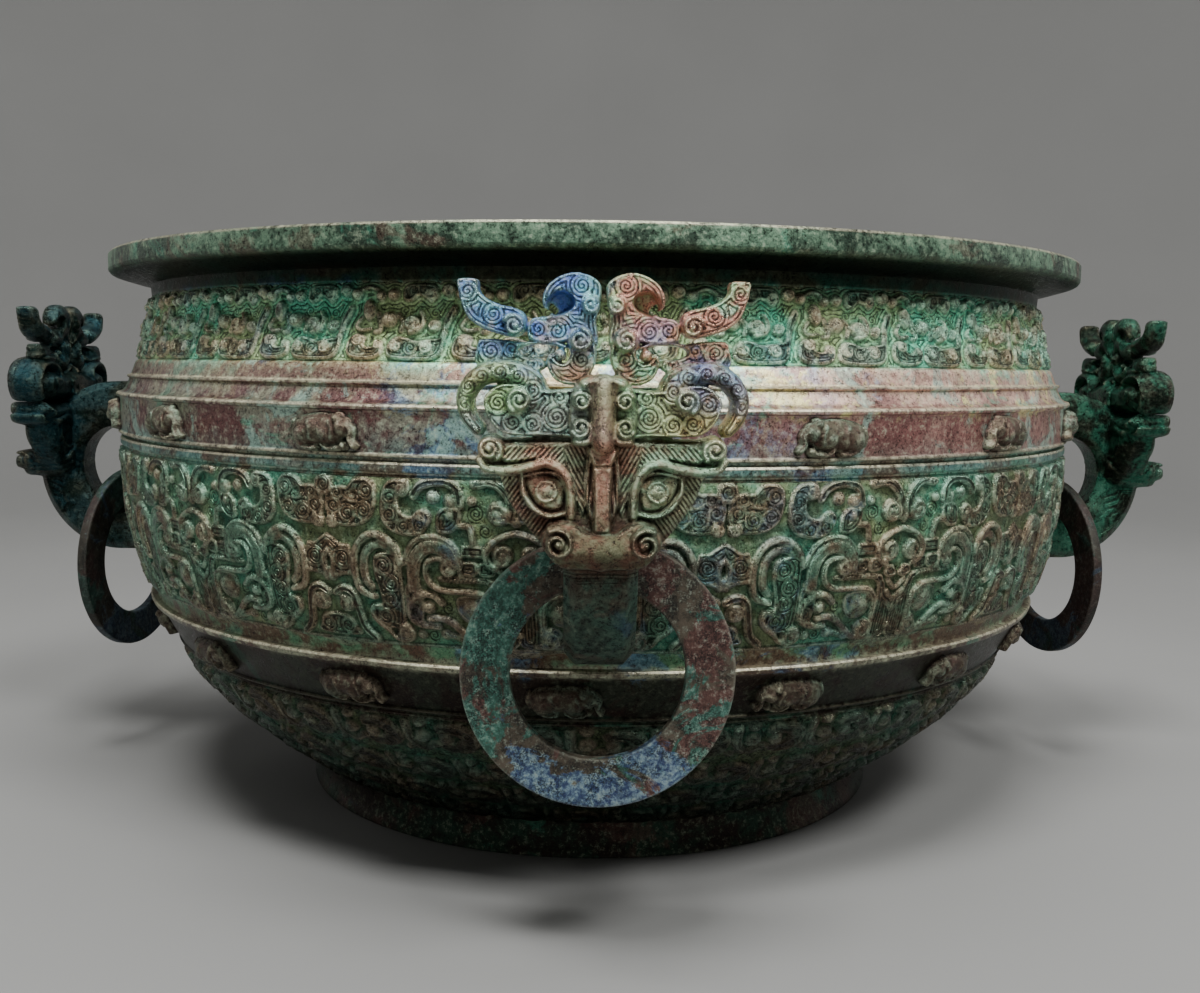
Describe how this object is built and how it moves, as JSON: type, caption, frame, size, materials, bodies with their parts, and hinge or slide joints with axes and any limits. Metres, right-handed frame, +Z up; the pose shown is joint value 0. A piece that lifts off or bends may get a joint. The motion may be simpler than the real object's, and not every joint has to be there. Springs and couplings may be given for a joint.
{
  "type": "bronze basin",
  "caption": "Wide round cast bronze basin with relief bands, beast-head loop handles and a loose flat ring hanging from each handle; stands on a low foot ring.",
  "frame": {"origin": "centre of the foot ring's underside, on the vessel's axis", "axes": "+Z up along the vessel's axis, the handles pointing along -Y, +X, +Y and -X"},
  "size_m": [0.542, 0.542, 0.234],
  "materials": {
    "bronze": "patinated",
    "ring_bronze": "patinated"
  },
  "bodies": {
    "basin": {"vessel": "bronze", "handle_front": "bronze", "handle_right": "bronze", "handle_back": "bronze", "handle_left": "bronze"},
    "ring_front_body": {"ring_front": "ring_bronze"},
    "ring_right_body": {"ring_right": "ring_bronze"},
    "ring_back_body": {"ring_back": "ring_bronze"},
    "ring_left_body": {"ring_left": "ring_bronze"}
  },
  "joints": [
    {"name": "ring_front_swing", "type": "hinge", "parent": "basin", "child": "ring_front_body", "pos_m": [0, -0.2215, 0.1248], "axis": [-1, 0, 0], "range_deg": [-20, 40]},
    {"name": "ring_right_swing", "type": "hinge", "parent": "basin", "child": "ring_right_body", "pos_m": [0.2215, 0, 0.1248], "axis": [0.2079, -0.9781, 0], "range_deg": [-20, 40]},
    {"name": "ring_back_swing", "type": "hinge", "parent": "basin", "child": "ring_back_body", "pos_m": [0, 0.2215, 0.1248], "axis": [1, 0, 0], "range_deg": [-20, 40]},
    {"name": "ring_left_swing", "type": "hinge", "parent": "basin", "child": "ring_left_body", "pos_m": [-0.2215, 0, 0.1248], "axis": [0.2079, 0.9781, 0], "range_deg": [-20, 40]}
  ]
}
